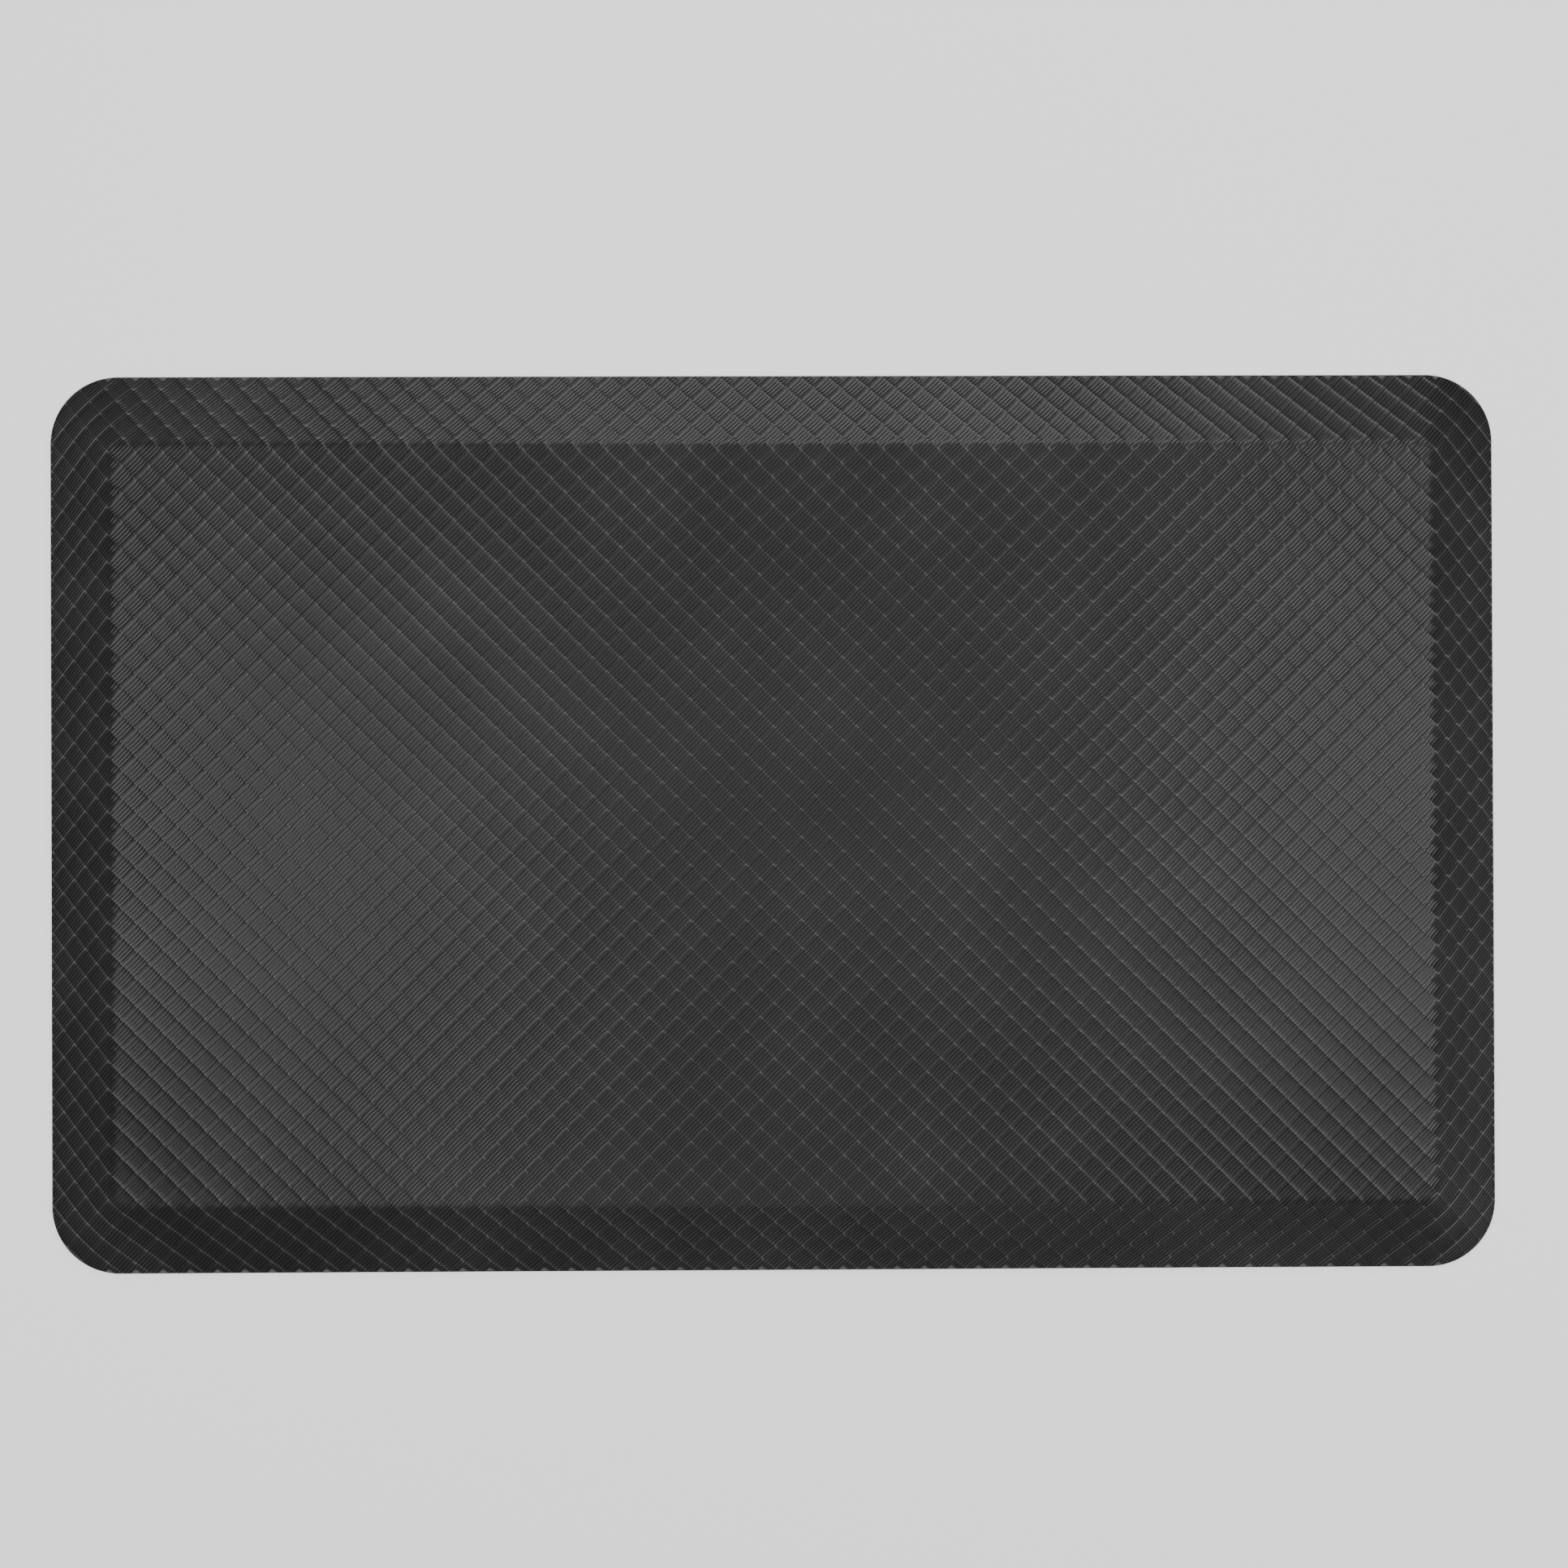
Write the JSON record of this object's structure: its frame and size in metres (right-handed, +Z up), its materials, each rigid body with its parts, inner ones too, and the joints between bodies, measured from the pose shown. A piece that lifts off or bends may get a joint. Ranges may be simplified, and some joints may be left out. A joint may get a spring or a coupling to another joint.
{
  "type": "anti-fatigue mat",
  "caption": "Rectangular cushioned standing mat with rounded corners and bevelled edges: embossed vinyl cover, foam core and flat non-slip underside.",
  "frame": {"origin": "middle of the mat's underside, on the floor", "axes": "+X along the long side, +Y along the short side, +Z up out of the standing surface"},
  "size_m": [0.813, 0.504, 0.019],
  "materials": {
    "embossed_vinyl": "matte",
    "knit_backing": "matte",
    "foam": "matte",
    "grip_sheet": "matte"
  },
  "bodies": {
    "root": {"cover_skin": "embossed_vinyl", "backing_fabric": "knit_backing", "foam_core": "foam", "grip_base": "grip_sheet"}
  },
  "joints": []
}
